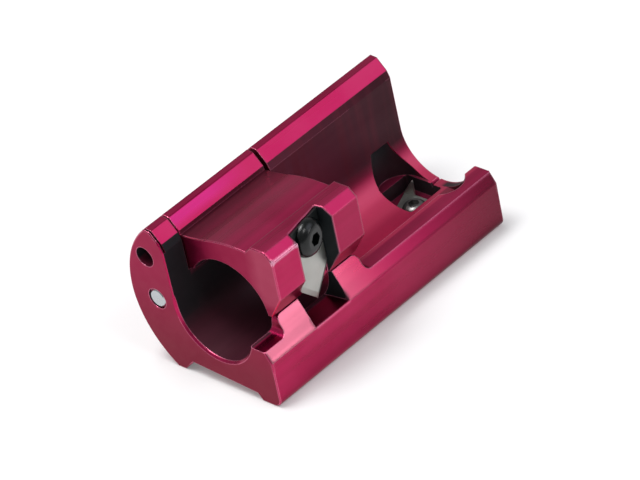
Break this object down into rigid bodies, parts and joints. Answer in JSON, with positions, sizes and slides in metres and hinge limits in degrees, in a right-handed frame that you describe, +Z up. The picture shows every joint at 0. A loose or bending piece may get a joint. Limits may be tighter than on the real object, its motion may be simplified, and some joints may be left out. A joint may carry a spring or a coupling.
{
  "type": "clamp-on pipe and cable slitting cutter",
  "caption": "Small channelled metal hand tool with a hinged jaw that closes round a thin pipe or cable, a skew slitting knife in the jaw and a ring-cutting knife in the channel.",
  "frame": {"origin": "middle of the footprint, on the plane of the feet", "axes": "+X along the channel from the jaw end to the open end, +Y from the flat side face to the hinged back, +Z up"},
  "size_m": [0.08, 0.0428, 0.0388],
  "materials": {
    "red_anodised": "bright red anodised, lightly brushed lengthwise",
    "pin_steel": "ground",
    "spring_steel": "drawn wire",
    "knife_steel": "ground",
    "black_steel": "black oxide"
  },
  "bodies": {
    "body": {"body": "red_anodised", "hinge_pin": "pin_steel", "anchor_pin": "pin_steel", "jaw_spring": "spring_steel", "ring_knife": "knife_steel", "ring_knife_screw": "spring_steel"},
    "jaw": {"jaw": "red_anodised", "slitting_knife": "knife_steel", "slitting_knife_screw": "black_steel"}
  },
  "joints": [
    {"name": "jaw_hinge", "type": "hinge", "parent": "body", "child": "jaw", "pos_m": [-0.0187, 0.0143, 0.0305], "axis": [-1, 0, 0], "range_deg": [0, 80], "stiffness_Nm_per_rad": 0.03, "springref_deg": -57.3, "deforming": ["jaw_spring"]}
  ]
}
